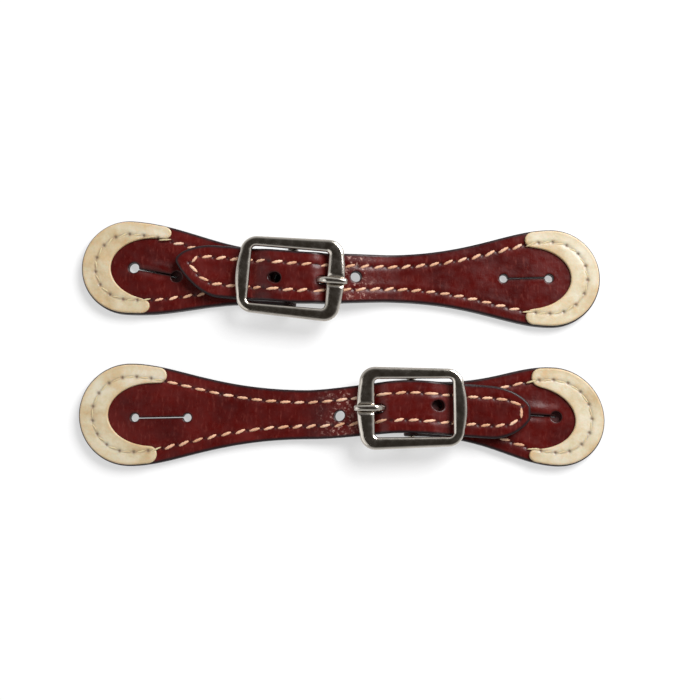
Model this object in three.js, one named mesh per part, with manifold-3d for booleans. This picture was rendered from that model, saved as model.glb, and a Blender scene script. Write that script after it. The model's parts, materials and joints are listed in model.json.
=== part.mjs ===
// A pair of western spur straps: two buckled leather straps that button onto the two ends of a
// spur's heel band.
//
// Each strap is two sewn leather pieces joined by a centre-bar buckle. The buckle piece folds round
// the buckle's dropped centre bar. The billet comes in under the toe bar, over the fold, out under
// the heel bar, and its tip lies on the buckle piece. Each outer end is a broad round with a
// buttonhole and a rawhide crescent sewn on.
//
// Strap frame, in millimetres: origin on the table below the centre of the buckle's centre bar, +X
// along the billet towards its button end, +Z up. The pair's frame is centred on the pair's
// outline, with the table at Z = 0.
import * as THREE from "three";
import { mergeVertices } from "three/addons/utils/BufferGeometryUtils.js";
import Module from "manifold-3d";

const wasm = await Module();
wasm.setup();

// ---- Driving dimensions -------------------------------------------------------------------------

const FACE_THICKNESS = 2.0; // grain-side leather
const LINING_THICKNESS = 1.3; // leather backing sewn under it
const FOLD_THICKNESS = 1.5; // face leather skived for the turn round the bar
const FLAP_THICKNESS = 1.2; // and for the flap that comes back underneath
const RAWHIDE_THICKNESS = 0.9;
const SEAM_GAP = 0.1; // between two layers sewn together

const THREAD_WIDTH = 1.1;
const THREAD_PROUD = 0.15; // how far the top thread stands out of the leather
const GROOVE_WIDTH = 1.5; // channel that the thread is sunk in
const GROOVE_DEPTH = 0.5;
const UNDER_GROOVE_DEPTH = 0.4;

const HOLE_RADIUS = 2.1; // buckle holes
const BUTTONHOLE_RADIUS = { billet: 1.7, buckle: 2.1 }; // the round holes at a buttonhole's two ends
const SLIT_WIDTH = 0.3;

// The rawhide crescent, as distances in from the button end's edge.
const CRESCENT_OVAL_AT = 29; // centre of its oval opening
const CRESCENT_OVAL_LENGTH = 17.3; // half lengths of the oval
const CRESCENT_OVAL_HALF_WIDTH = 12.4;
const CRESCENT_OVAL_TAIL = 12; // how far the opening runs on straight past its centre
const HORN_INSIDE = 11; // across the strap: where a horn's end starts, turns its corner and is past it
const HORN_SQUARE = 15.2;
const HORN_CORNER = 17.6;
const HORN_OUTSIDE = 18.5;
const HORN_ROUNDING = 2.2;
const CRESCENT_INSET = 0.15; // how far it lies inside the leather's edge
const CLIMB_FROM = 35.6; // where the top thread steps up onto the rawhide
const CLIMB_TO = 34.8;

const BAR_RADIUS = 1.5; // the buckle's centre bar
const BAR_CLEARANCE = 0.15;
const BAR_HEIGHT = BAR_RADIUS + BAR_CLEARANCE + FOLD_THICKNESS + 0.05; // its axis above the table
const FRAME_BOTTOM = 7.75; // underside of the buckle frame above the table
const FRAME_THICKNESS = 3.2;
const FRAME_BEVEL = 0.8;
const WINDOW_HALF_WIDTH = 11.4; // for a 19 to 20 mm strap
const WINDOW_TOE = 14.6;
const WINDOW_HEEL = -16.0;
const FRAME_TOE = 20.6; // outer edges at the corners; the end bars bow out past these
const FRAME_HEEL = -20.6;
const END_BAR_BOW = 1.1;
const FRAME_TOE_HALF_WIDTH = 16.5;
const FRAME_HEEL_HALF_WIDTH = 15.1;
const FRAME_CORNER = 6.0;
const WINDOW_CORNER = 1.5;
const LUG_RADIUS = 2.2; // the lugs that carry the dropped centre bar
const LUG_THICKNESS = 3;
const LUG_OUT = 1.6; // from the window's side to the middle of a lug

const TONGUE_HALF_THICKNESS = 1.1;
const TONGUE_WIDTH = 2.6;
const TONGUE_BEVEL = 0.5;
const TONGUE_START = 1.2; // its shank starts inside the eye
const TONGUE_RISE_FROM = 7; // where it climbs from under the billet to the toe bar
const TONGUE_RISE_TO = 14.6;
const TONGUE_END = 22.9; // from the bar's axis to its tip
const TONGUE_TIP_FROM = TONGUE_END - 1.9; // its tip bends down from here
const TONGUE_TIP_DROP = 1.2;
const TONGUE_TAPER = 3.9; // length over which the tip thins
const TONGUE_EYE_RADIUS = BAR_HEIGHT - 0.12;
const NOTCH_DEPTH = 0.95; // the tongue's seat in the toe bar
const NOTCH_RADIUS = 3.0;
const TONGUE_REST_HEIGHT = FRAME_BOTTOM + FRAME_THICKNESS - NOTCH_DEPTH + 0.3 + TONGUE_HALF_THICKNESS;
const HOLE_PLAY = 1.2; // how much wider than the tongue its hole is pulled, each way

const WIDE = 60; // wider than any piece, for cutters
const BELOW = -5; // and lower and higher than any
const ABOVE = 25;
const STACK = FACE_THICKNESS + LINING_THICKNESS + SEAM_GAP; // a whole sewn strap

// The fold of the buckle piece, along the strap from the bar's axis.
const FLAP_END = -34.5; // the flap comes back as far as this
const FOLD_FROM = -15.5; // the face climbs and thins from here to the bar
const FLAP_THINS_FROM = -12;
const FOLD_RADIUS = BAR_RADIUS + BAR_CLEARANCE + FOLD_THICKNESS / 2;
const NECK_OVERLAP = -6; // the lining and seam outlines start here, past the neck

// The billet's underside: on the table, up under the toe bar, over the fold, and down onto the
// buckle piece.
const ON_TABLE_FROM = 46;
const UNDER_TOE_BAR = 3.25;
const TOE_BAR_SPAN = [15.2, 17]; // level here
const OVER_FOLD = BAR_HEIGHT + BAR_RADIUS + BAR_CLEARANCE + FOLD_THICKNESS + 0.15;
const FOLD_SPAN = [-6.3, 8]; // level here
const TIP_BED = STACK + THREAD_PROUD + 0.15;
const TIP_BED_TO = -15.3;
const TIP_LIFT = 0.8;
const TIP_LIFT_SPAN = [24, 50];

// How a strap's sideways line changes along its length.
const BEND_EASE = 14; // length that the bend is spread over
const SHIFT_SPAN = [-2, 42]; // the billet's sideways step happens between these

// The two straps are cut by hand from one pattern, so a few lengths differ between them.
const STRAPS = [
  {
    name: "left",
    place: [-20.1, 24.8], // centre of the centre bar in the pair's plan
    turn: 0,
    skew: THREE.MathUtils.degToRad(-4.9), // how far the buckle lies off the billet's line
    billetHoles: [[-5.8, -0.9], [25.7, 0.5]],
    // How each piece of leather wanders sideways: a line that bends, and a step towards the button end.
    billetLine: { side: -0.05, slope: 0.086, bendAt: 5, shift: 0.55 },
    buckleLine: { side: 0, slope: -0.01, bendAt: -6, shift: 0 },
    billet: {
      end: 123.7, tip: -45.7, endWidth: 39.2, waistAt: 36.7, waistWidth: 18.8, width: 20.8,
      flareNear: 18, flareFar: 36, tipSide: 3.0, tipBlunt: 0.6, tipLength: 17, tipInset: 1.1,
      endInset: 5.2, sideInset: 5.0, ovalSide: 0,
      buttonhole: [20.4, 38.6], buttonholeSides: [0, 0], horns: [30.0, 30.0],
    },
    buckle: {
      end: 83.8, endWidth: 37.6, neckWidth: 21.8, neckAt: 8, flareNear: 21, flareFar: 24,
      endInset: 5.6, sideInset: 5.7, ovalSide: 0,
      buttonhole: [20.9, 38.2], buttonholeSides: [0, 2.3], punchedLining: [true, false],
      horns: [34.6, 28.8],
    },
  },
  {
    name: "right",
    place: [27.9, -26.8],
    turn: Math.PI,
    skew: THREE.MathUtils.degToRad(0.5),
    billetHoles: [[-9.5, -1.1], [28.0, 1.3]],
    billetLine: { side: -0.78, slope: 0.072, bendAt: 1, shift: 3.1 },
    buckleLine: { side: 0, slope: 0.072, bendAt: -6, shift: 0 },
    billet: {
      end: 131.7, tip: -46.8, endWidth: 40.6, waistAt: 40, waistWidth: 19.4, width: 20.8,
      flareNear: 18, flareFar: 38, tipSide: -0.9, tipBlunt: 2.2, tipLength: 16, tipInset: 0.65,
      endInset: 5.4, sideInset: 5.0, ovalSide: 0,
      buttonhole: [22.2, 43.0], buttonholeSides: [1.2, 1.2], horns: [31.2, 34.8],
    },
    buckle: {
      end: 76.5, endWidth: 39.2, neckWidth: 21.8, neckAt: 6, flareNear: 16, flareFar: 26,
      endInset: 5.2, sideInset: 5.7, ovalSide: -0.9,
      buttonhole: [19.2, 37.0], buttonholeSides: [0, 0], punchedLining: [false, false],
      horns: [30.3, 28.7],
    },
  },
];

// ---- Materials ----------------------------------------------------------------------------------

function finish(color, roughness, metalness) {
  return new THREE.MeshStandardMaterial({ color, roughness, metalness });
}

const GRAIN = finish(0x5c1d1c, 0.35, 0);
const LINING = finish(0x3f1615, 0.7, 0);
const RAWHIDE = finish(0xe2d2a6, 0.5, 0);
const THREAD = finish(0xdba886, 0.75, 0);
const STEEL = finish(0x8f8e88, 0.25, 1);

// ---- Solids -------------------------------------------------------------------------------------

function toSolid(geometry) {
  for (const name of Object.keys(geometry.attributes)) {
    if (name !== "position") geometry.deleteAttribute(name);
  }
  const merged = mergeVertices(geometry, 1e-4);
  const mesh = new wasm.Mesh({
    numProp: 3,
    vertProperties: merged.attributes.position.array,
    triVerts: new Uint32Array(merged.index.array),
  });
  return new wasm.Manifold(mesh);
}

function toGeometry(solid) {
  const mesh = solid.getMesh();
  const geometry = new THREE.BufferGeometry();
  geometry.setAttribute("position", new THREE.BufferAttribute(mesh.vertProperties, 3));
  geometry.setIndex(new THREE.BufferAttribute(mesh.triVerts, 1));
  geometry.computeVertexNormals();
  return geometry;
}

// A plan outline stood up from one height to another.
function prism(shape, { low = BELOW, high = ABOVE, curveSegments = 5 } = {}) {
  const depth = high - low;
  const geometry = new THREE.ExtrudeGeometry(shape, { depth, bevelEnabled: false, curveSegments });
  return toSolid(geometry.translate(0, 0, low));
}

// A side view, drawn with X along the strap and Y up, stretched across the strap.
function acrossStrap(shape, width, bevel = 0) {
  const geometry = new THREE.ExtrudeGeometry(shape, {
    depth: width - 2 * bevel,
    bevelEnabled: bevel > 0,
    bevelThickness: bevel,
    bevelSize: bevel,
    bevelOffset: -bevel,
    bevelSegments: 1,
    curveSegments: 8,
  });
  return toSolid(geometry.translate(0, 0, bevel - width / 2).rotateX(Math.PI / 2));
}

function box(x0, x1, y0, y1, z0 = BELOW, z1 = ABOVE) {
  const geometry = new THREE.BoxGeometry(x1 - x0, y1 - y0, z1 - z0);
  return toSolid(geometry.translate((x0 + x1) / 2, (y0 + y1) / 2, (z0 + z1) / 2));
}

// A round bar across the strap.
function crossBar(radius, width, x, z, sides = 16) {
  return toSolid(new THREE.CylinderGeometry(radius, radius, width, sides).translate(x, 0, z));
}

function turned(solid, angle) {
  return toSolid(toGeometry(solid).rotateZ(angle));
}

// The leather's sideways line: straight, then bent by a slope towards the tip, with a step towards
// the button end.
function sideways(x, { side, slope, bendAt, shift }) {
  const past = THREE.MathUtils.clamp(bendAt + BEND_EASE / 2 - x, 0, BEND_EASE);
  const beyond = Math.max(0, bendAt - BEND_EASE / 2 - x);
  return side + slope * ((past * past) / (2 * BEND_EASE) + beyond) + shift * step(x, ...SHIFT_SPAN);
}

// A straight piece of leather moved onto its sideways line.
function wander(solid, line) {
  const geometry = toGeometry(solid);
  const position = geometry.getAttribute("position");
  for (let i = 0; i < position.count; i++) {
    position.setY(i, position.getY(i) + sideways(position.getX(i), line));
  }
  return toSolid(geometry);
}

// ---- Side profiles ------------------------------------------------------------------------------

function step(x, from, to) {
  const t = THREE.MathUtils.clamp((x - from) / (to - from), 0, 1);
  return t * t * (3 - 2 * t);
}

// Points of a side profile with their normals, from a height function and stretches of [from, to,
// pieces].
function profile(height, stretches) {
  const xs = stretches.flatMap(([from, to, pieces]) =>
    Array.from({ length: pieces }, (_, i) => from + ((to - from) * i) / pieces),
  );
  xs.push(stretches.at(-1)[1]);
  const reach = 0.01;
  return xs.map((x) => {
    const slope = (height(x + reach) - height(x - reach)) / (2 * reach);
    return { point: new THREE.Vector2(x, height(x)), normal: new THREE.Vector2(-slope, 1).normalize() };
  });
}

// A profile's points moved along their normals, by one distance or by one for each point.
function raised(points, by) {
  const distance = typeof by === "function" ? by : () => by;
  return points.map(({ point, normal }, i) => point.clone().addScaledVector(normal, distance(i)));
}

// The layer of a profile between two heights above it, as a slab wider than the strap.
function layer(points, low, high) {
  return acrossStrap(new THREE.Shape([...raised(points, low), ...raised(points, high).reverse()]), WIDE);
}

function billetHeight(x) {
  const onFold = TIP_BED + (OVER_FOLD - TIP_BED) * step(x, TIP_BED_TO, FOLD_SPAN[0]);
  const down = (OVER_FOLD - UNDER_TOE_BAR) * step(x, FOLD_SPAN[1], TOE_BAR_SPAN[0]);
  const out = UNDER_TOE_BAR * step(x, TOE_BAR_SPAN[1], ON_TABLE_FROM);
  return onFold - down - out + TIP_LIFT * step(-x, ...TIP_LIFT_SPAN);
}

// The billet's profile runs a little past both ends, where its outline cuts it off.
function billetProfile(billet) {
  return profile(billetHeight, [
    [billet.tip - 2, -TIP_LIFT_SPAN[0], 3],
    [-TIP_LIFT_SPAN[0], TIP_BED_TO, 1],
    [TIP_BED_TO, FOLD_SPAN[0], 5],
    [...FOLD_SPAN, 1],
    [FOLD_SPAN[1], TOE_BAR_SPAN[0], 5],
    [...TOE_BAR_SPAN, 1],
    [TOE_BAR_SPAN[1], ON_TABLE_FROM, 5],
    [ON_TABLE_FROM, billet.end + 2, 1],
  ]);
}

// ---- Plan outlines ------------------------------------------------------------------------------

// Both pieces share the round button end and the flare that narrows from it. Here x runs from the
// buckle to the end.
function drawButtonEnd(shape, piece, cap, neck, neckAt) {
  const centre = piece.end - piece.endWidth / 2;
  shape.bezierCurveTo(neckAt + piece.flareFar, -neck, centre - piece.flareNear, -cap, centre, -cap);
  shape.absarc(centre, 0, cap, -Math.PI / 2, 0, false);
  shape.absarc(centre, 0, cap, 0, Math.PI / 2, false);
  shape.bezierCurveTo(centre - piece.flareNear, cap, neckAt + piece.flareFar, neck, neckAt, neck);
}

// The billet's outline, drawn in by one distance at the button end and another along the sides and
// tip.
function billetShape(billet, endInset = 0, sideInset = 0) {
  const neck = billet.waistWidth / 2 - sideInset;
  const half = billet.width / 2 - sideInset;
  const tip = billet.tip + sideInset * billet.tipInset;
  const shoulder = billet.tip + billet.tipLength;
  const side = billet.tipSide;
  const blunt = billet.tipBlunt;
  const shape = new THREE.Shape();
  shape.moveTo(tip, side - blunt);
  shape.bezierCurveTo(tip + 1.6, side - blunt - 0.36 * half, shoulder - 8, -half, shoulder, -half);
  shape.lineTo(0, -half);
  shape.lineTo(billet.waistAt, -neck);
  drawButtonEnd(shape, billet, billet.endWidth / 2 - endInset, neck, billet.waistAt);
  shape.lineTo(0, half);
  shape.lineTo(shoulder, half);
  shape.bezierCurveTo(shoulder - 8, half, tip + 1.6, side + blunt + 0.36 * half, tip, side + blunt);
  shape.closePath();
  return shape;
}

// The buckle piece's outline with its fold at x = 0 and its button end at +x. It is turned round
// when it is used.
function buckleShape(buckle, from, endInset = 0, sideInset = 0) {
  const neck = buckle.neckWidth / 2 - sideInset;
  const shape = new THREE.Shape();
  shape.moveTo(from, -neck);
  shape.lineTo(buckle.neckAt, -neck);
  drawButtonEnd(shape, buckle, buckle.endWidth / 2 - endInset, neck, buckle.neckAt);
  shape.lineTo(from, neck);
  shape.closePath();
  return shape;
}

// A run of stitching as a band in plan, along the outline that draw gives for an inset.
function stitchBand(draw, width) {
  return prism(draw(-width / 2)).subtract(prism(draw(width / 2), { low: BELOW - 1, high: ABOVE + 1 }));
}

// Everything in plan that is cut through a button end: round holes, and the slit that joins their
// two places.
function buttonhole(piece, radius, punched = [true, true]) {
  const [outer, inner] = piece.buttonhole.map(
    (distance, i) => new THREE.Vector2(piece.end - distance, piece.buttonholeSides[i]),
  );
  const along = outer.clone().sub(inner);
  const half = new THREE.Vector2(-along.y, along.x).setLength(SLIT_WIDTH / 2);
  const below = [inner, outer].map((point) => point.clone().sub(half));
  const above = [outer, inner].map((point) => point.clone().add(half));
  const corners = [...below, ...above];
  const rounds = [outer, inner].filter((_, i) => punched[i]).map(({ x, y }) => roundHole(x, y, radius));
  return rounds.reduce((all, hole) => all.add(hole), prism(new THREE.Shape(corners)));
}

function roundHole(x, y, radius) {
  return prism(new THREE.Shape().absarc(x, y, radius, 0, 2 * Math.PI, false), { curveSegments: 6 });
}

// The rawhide crescent in plan: the round of the end, less an oval opening, cut off at its two
// horns.
function crescent(piece, outline) {
  const [hornPlus, hornMinus] = piece.horns.map((distance) => piece.end - distance);
  const ovalAt = piece.end - CRESCENT_OVAL_AT;
  const tail = ovalAt - CRESCENT_OVAL_TAIL;
  const half = CRESCENT_OVAL_HALF_WIDTH;
  const oval = new THREE.Shape();
  oval.absellipse(ovalAt, piece.ovalSide, CRESCENT_OVAL_LENGTH, half, -Math.PI / 2, Math.PI / 2, false);
  oval.lineTo(tail, piece.ovalSide + half);
  oval.lineTo(tail, piece.ovalSide - half);
  const far = piece.end + 5;
  const round = new THREE.Shape();
  round.moveTo(hornMinus + HORN_ROUNDING, -WIDE / 2);
  round.lineTo(far, -WIDE / 2);
  round.lineTo(far, WIDE / 2);
  round.lineTo(hornPlus + HORN_ROUNDING, WIDE / 2);
  round.lineTo(hornPlus + HORN_ROUNDING, HORN_OUTSIDE);
  round.quadraticCurveTo(hornPlus, HORN_CORNER, hornPlus, HORN_SQUARE);
  round.lineTo(hornPlus, HORN_INSIDE);
  round.lineTo(hornMinus, -HORN_INSIDE);
  round.lineTo(hornMinus, -HORN_SQUARE);
  round.quadraticCurveTo(hornMinus, -HORN_CORNER, hornMinus + HORN_ROUNDING, -HORN_OUTSIDE);
  round.closePath();
  return prism(outline)
    .intersect(prism(round, { curveSegments: 4 }))
    .subtract(prism(oval, { curveSegments: 8 }));
}

// ---- Sewn pieces --------------------------------------------------------------------------------

// The top thread and its groove: level with the face, and stepping up onto the rawhide at the
// horns.
function topThread(points, piece, atEnd) {
  const onRawhide = RAWHIDE_THICKNESS + SEAM_GAP;
  const [from, to] = [piece.end - CLIMB_FROM, piece.end - CLIMB_TO];
  const climbed = (i) => onRawhide * step(atEnd(points[i].point.x), from, to);
  const thread = (i) => STACK - GROOVE_DEPTH + 0.1 + climbed(i);
  const top = (i) => STACK + THREAD_PROUD + climbed(i);
  const floor = (i) => STACK - GROOVE_DEPTH + climbed(i);
  return { thread: layer(points, thread, top), groove: layer(points, floor, () => 20) };
}

// The underside thread lies wholly inside its groove, so the strap rests on leather.
function underThread(points) {
  const thread = layer(points, 0.08, UNDER_GROOVE_DEPTH - 0.1);
  return { thread, groove: layer(points, -2, UNDER_GROOVE_DEPTH) };
}

// Finer profile points where the top thread climbs onto the rawhide.
function withClimb(points, piece, height, toPlan) {
  const middle = (CLIMB_FROM + CLIMB_TO) / 2;
  const stations = [CLIMB_FROM + 0.6, CLIMB_FROM, middle, CLIMB_TO, CLIMB_TO - 0.6];
  const climb = stations.map((distance) => toPlan(piece.end - distance));
  const extra = profile(height, climb.slice(1).map((x, i) => [climb[i], x, 1]));
  return [...points, ...extra].sort((a, b) => a.point.x - b.point.x);
}

function billetSolids(strap) {
  const { billet } = strap;
  const points = billetProfile(billet);
  const threaded = withClimb(points, billet, billetHeight, (x) => x);
  const outline = prism(billetShape(billet));
  const draw = (by) => billetShape(billet, billet.endInset + by, billet.sideInset + by);
  const top = topThread(threaded, billet, (x) => x);
  const under = underThread(points);
  const grooveBand = stitchBand(draw, GROOVE_WIDTH);
  const threadBand = stitchBand(draw, THREAD_WIDTH);
  const topGroove = top.groove.intersect(grooveBand);
  const holes = strap.billetHoles
    .map(([x, y]) => roundHole(x, y, HOLE_RADIUS))
    .concat(buttonhole(billet, BUTTONHOLE_RADIUS.billet))
    .reduce((all, hole) => all.add(hole));
  const wandering = (solid) => wander(solid, strap.billetLine);
  const tongueHole = turned(tongueClearance(), strap.skew);
  const lining = layer(points, 0, LINING_THICKNESS).intersect(outline);
  const face = layer(points, LINING_THICKNESS + SEAM_GAP, STACK).intersect(outline);
  const hide = layer(points, STACK + SEAM_GAP, STACK + SEAM_GAP + RAWHIDE_THICKNESS);
  const hidePlan = crescent(billet, billetShape(billet, CRESCENT_INSET, CRESCENT_INSET));
  const underGroove = under.groove.intersect(grooveBand);
  return {
    face: wandering(face.subtract(holes).subtract(topGroove)).subtract(tongueHole),
    lining: wandering(lining.subtract(holes).subtract(underGroove)).subtract(tongueHole),
    rawhide: wandering(hide.intersect(hidePlan).subtract(topGroove)),
    thread: wandering(top.thread.intersect(threadBand)),
    bobbin_thread: wandering(under.thread.intersect(threadBand)),
  };
}

// The face leather of the buckle piece in side view, with the button end at -x: flat, up over the
// bar, round it, and back along the table as the flap.
function foldSolid(end) {
  const flat = LINING_THICKNESS + SEAM_GAP + FACE_THICKNESS / 2;
  const rise = (x) => flat + (BAR_HEIGHT + FOLD_RADIUS - flat) * step(x, FOLD_FROM, 0);
  const thickening = (x) => (FOLD_THICKNESS - FLAP_THICKNESS) * step(x, FLAP_THINS_FROM, 0);
  const back = (x) => 0.05 + (FLAP_THICKNESS + thickening(x)) / 2;
  const over = profile(rise, [[-end - 2, FOLD_FROM, 1], [FOLD_FROM, 0, 6]]);
  const under = profile(back, [[FLAP_END, FLAP_THINS_FROM, 1], [FLAP_THINS_FROM, 0, 2]]).reverse();
  const turn = Array.from({ length: 9 }, (_, i) => {
    const angle = Math.PI / 2 - (Math.PI * (i + 1)) / 10;
    const normal = new THREE.Vector2(Math.cos(angle), Math.sin(angle));
    return { point: new THREE.Vector2(0, BAR_HEIGHT).addScaledVector(normal, FOLD_RADIUS), normal };
  });
  const flipped = under.map(({ point, normal }) => ({ point, normal: normal.negate() }));
  const line = [...over, ...turn, ...flipped];
  const half = line.map((_, i) => {
    if (i < over.length) {
      const thinned = step(over[i].point.x, FOLD_FROM, 0);
      return (FACE_THICKNESS + (FOLD_THICKNESS - FACE_THICKNESS) * thinned) / 2;
    }
    if (i < over.length + turn.length) return FOLD_THICKNESS / 2;
    return (FLAP_THICKNESS + thickening(flipped[i - over.length - turn.length].point.x)) / 2;
  });
  const outside = raised(line, (i) => half[i]);
  const inside = raised(line, (i) => -half[i]).reverse();
  return acrossStrap(new THREE.Shape([...inside, ...outside]), WIDE);
}

function buckleSolids(strap) {
  const { buckle } = strap;
  const around = (solid) => turned(solid, Math.PI);
  const outline = around(prism(buckleShape(buckle, NECK_OVERLAP)));
  const flatLine = profile(() => 0, [[-buckle.end - 2, FLAP_END - 0.8, 1]]);
  const flatHide = profile(() => 0, [[-buckle.end - 2, CLIMB_FROM + 2 - buckle.end, 1]]);
  const threaded = profile(() => 0, [
    [-buckle.end - 2, CLIMB_TO - buckle.end, 1],
    [CLIMB_TO - buckle.end, CLIMB_FROM - buckle.end, 2],
    [CLIMB_FROM - buckle.end, FOLD_FROM - 2.5, 1],
  ]);
  const top = topThread(threaded, buckle, (x) => -x);
  const under = underThread(flatLine);
  const draw = (by) => buckleShape(buckle, NECK_OVERLAP - by, buckle.endInset + by, buckle.sideInset + by);
  const grooveBand = around(stitchBand(draw, GROOVE_WIDTH));
  const threadBand = around(stitchBand(draw, THREAD_WIDTH));
  const topGroove = top.groove.intersect(grooveBand);
  const holes = around(buttonhole(buckle, BUTTONHOLE_RADIUS.buckle));
  const liningHoles = around(buttonhole(buckle, BUTTONHOLE_RADIUS.buckle, buckle.punchedLining));
  const slotHalf = TONGUE_WIDTH / 2 + 0.8;
  const tongueSlot = box(-6.2, 6, -slotHalf, slotHalf);
  const hide = layer(flatHide, STACK + SEAM_GAP, STACK + SEAM_GAP + RAWHIDE_THICKNESS);
  const hideOutline = buckleShape(buckle, NECK_OVERLAP, CRESCENT_INSET, CRESCENT_INSET);
  const hidePlan = crescent({ ...buckle, horns: [...buckle.horns].reverse() }, hideOutline);
  const lining = layer(flatLine, 0, LINING_THICKNESS).intersect(outline);
  const face = foldSolid(buckle.end).intersect(outline);
  const wandering = (solid) => wander(solid, strap.buckleLine);
  return {
    face: wandering(face.subtract(holes).subtract(tongueSlot).subtract(topGroove)),
    lining: wandering(lining.subtract(liningHoles).subtract(under.groove.intersect(grooveBand))),
    rawhide: wandering(hide.intersect(around(hidePlan)).subtract(topGroove)),
    thread: wandering(top.thread.intersect(threadBand)),
    bobbin_thread: wandering(under.thread.intersect(threadBand)),
  };
}

// ---- Buckle -------------------------------------------------------------------------------------

// The tongue's line in side view: round the bar, low under the billet, up through its hole and over
// the toe bar.
function tongueHeight(x) {
  const low = BAR_HEIGHT + TONGUE_EYE_RADIUS - TONGUE_HALF_THICKNESS;
  const tipDrop = TONGUE_TIP_DROP * step(x, TONGUE_TIP_FROM, TONGUE_END + 1.1);
  return low + (TONGUE_REST_HEIGHT - low) * step(x, TONGUE_RISE_FROM, TONGUE_RISE_TO) - tipDrop;
}

const TONGUE_STRETCHES = [
  [TONGUE_START, TONGUE_RISE_FROM, 1],
  [TONGUE_RISE_FROM, TONGUE_RISE_TO, 7],
  [TONGUE_RISE_TO, TONGUE_TIP_FROM, 2],
  [TONGUE_TIP_FROM, TONGUE_END, 3],
];

function tongueSolid() {
  const points = profile(tongueHeight, TONGUE_STRETCHES);
  const thinned = (x) => 1 - 0.35 * step(x, TONGUE_END - TONGUE_TAPER, TONGUE_END);
  const half = (i) => TONGUE_HALF_THICKNESS * thinned(points[i].point.x);
  const upper = raised(points, half);
  const lower = raised(points, (i) => -half(i));
  const shank = acrossStrap(new THREE.Shape([...lower, ...upper.reverse()]), TONGUE_WIDTH, TONGUE_BEVEL);
  const eye = crossBar(TONGUE_EYE_RADIUS, TONGUE_WIDTH + 0.3, 0, BAR_HEIGHT);
  return shank.add(eye).subtract(crossBar(BAR_RADIUS + BAR_CLEARANCE, WIDE, 0, BAR_HEIGHT));
}

// The space that the tongue needs where it passes through the billet.
function tongueClearance() {
  const points = profile(tongueHeight, [[-3.6, TONGUE_START, 1], ...TONGUE_STRETCHES]);
  const reach = TONGUE_HALF_THICKNESS + HOLE_PLAY;
  const shape = new THREE.Shape([...raised(points, -reach), ...raised(points, reach).reverse()]);
  return acrossStrap(shape, TONGUE_WIDTH + 1.3).subtract(box(-9, 3.5, -9, 9));
}

function frameSolid() {
  const ring = new THREE.Shape();
  const c = FRAME_CORNER;
  const [toe, heel] = [FRAME_TOE_HALF_WIDTH, FRAME_HEEL_HALF_WIDTH];
  ring.moveTo(FRAME_HEEL + c, -heel);
  ring.lineTo(FRAME_TOE - c, -toe);
  ring.quadraticCurveTo(FRAME_TOE, -toe, FRAME_TOE, -toe + c);
  ring.quadraticCurveTo(FRAME_TOE + 2 * END_BAR_BOW, 0, FRAME_TOE, toe - c);
  ring.quadraticCurveTo(FRAME_TOE, toe, FRAME_TOE - c, toe);
  ring.lineTo(FRAME_HEEL + c, heel);
  ring.quadraticCurveTo(FRAME_HEEL, heel, FRAME_HEEL, heel - c);
  ring.quadraticCurveTo(FRAME_HEEL - 2 * END_BAR_BOW, 0, FRAME_HEEL, -heel + c);
  ring.quadraticCurveTo(FRAME_HEEL, -heel, FRAME_HEEL + c, -heel);
  const w = WINDOW_HALF_WIDTH;
  const r = WINDOW_CORNER;
  const window = new THREE.Path();
  window.moveTo(WINDOW_HEEL + r, -w);
  window.lineTo(WINDOW_TOE - r, -w);
  window.absarc(WINDOW_TOE - r, -w + r, r, -Math.PI / 2, 0, false);
  window.absarc(WINDOW_TOE - r, w - r, r, 0, Math.PI / 2, false);
  window.absarc(WINDOW_HEEL + r, w - r, r, Math.PI / 2, Math.PI, false);
  window.absarc(WINDOW_HEEL + r, -w + r, r, Math.PI, 1.5 * Math.PI, false);
  ring.holes.push(window);
  const geometry = new THREE.ExtrudeGeometry(ring, {
    depth: FRAME_THICKNESS - 2 * FRAME_BEVEL,
    bevelThickness: FRAME_BEVEL,
    bevelSize: FRAME_BEVEL,
    bevelOffset: -FRAME_BEVEL,
    bevelSegments: 1,
    curveSegments: 4,
  });
  const flat = toSolid(geometry.translate(0, 0, FRAME_BOTTOM + FRAME_BEVEL));
  const notch = new THREE.CylinderGeometry(NOTCH_RADIUS, NOTCH_RADIUS, 12, 24).rotateZ(Math.PI / 2);
  const notchHeight = FRAME_BOTTOM + FRAME_THICKNESS - NOTCH_DEPTH + NOTCH_RADIUS;
  const lugs = [-1, 1].map((side) => {
    const y = side * (WINDOW_HALF_WIDTH + LUG_OUT);
    const half = LUG_THICKNESS / 2;
    const top = FRAME_BOTTOM + FRAME_THICKNESS / 2;
    const drop = box(-LUG_RADIUS, LUG_RADIUS, y - half, y + half, BAR_HEIGHT, top);
    const round = new THREE.CylinderGeometry(LUG_RADIUS, LUG_RADIUS, LUG_THICKNESS, 16);
    return drop.add(toSolid(round.translate(0, y, BAR_HEIGHT)));
  });
  return flat
    .subtract(toSolid(notch.translate(FRAME_TOE - 2.5, 0, notchHeight)))
    .add(lugs[0])
    .add(lugs[1])
    .add(crossBar(BAR_RADIUS, 2 * WINDOW_HALF_WIDTH + 2, 0, BAR_HEIGHT));
}

// ---- The pair -----------------------------------------------------------------------------------

function node(name, solid, material) {
  const mesh = new THREE.Mesh(toGeometry(solid), material);
  mesh.name = name;
  return mesh;
}

const MATERIAL_OF = {
  face: GRAIN,
  lining: LINING,
  rawhide: RAWHIDE,
  thread: THREAD,
  bobbin_thread: THREAD,
};

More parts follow.
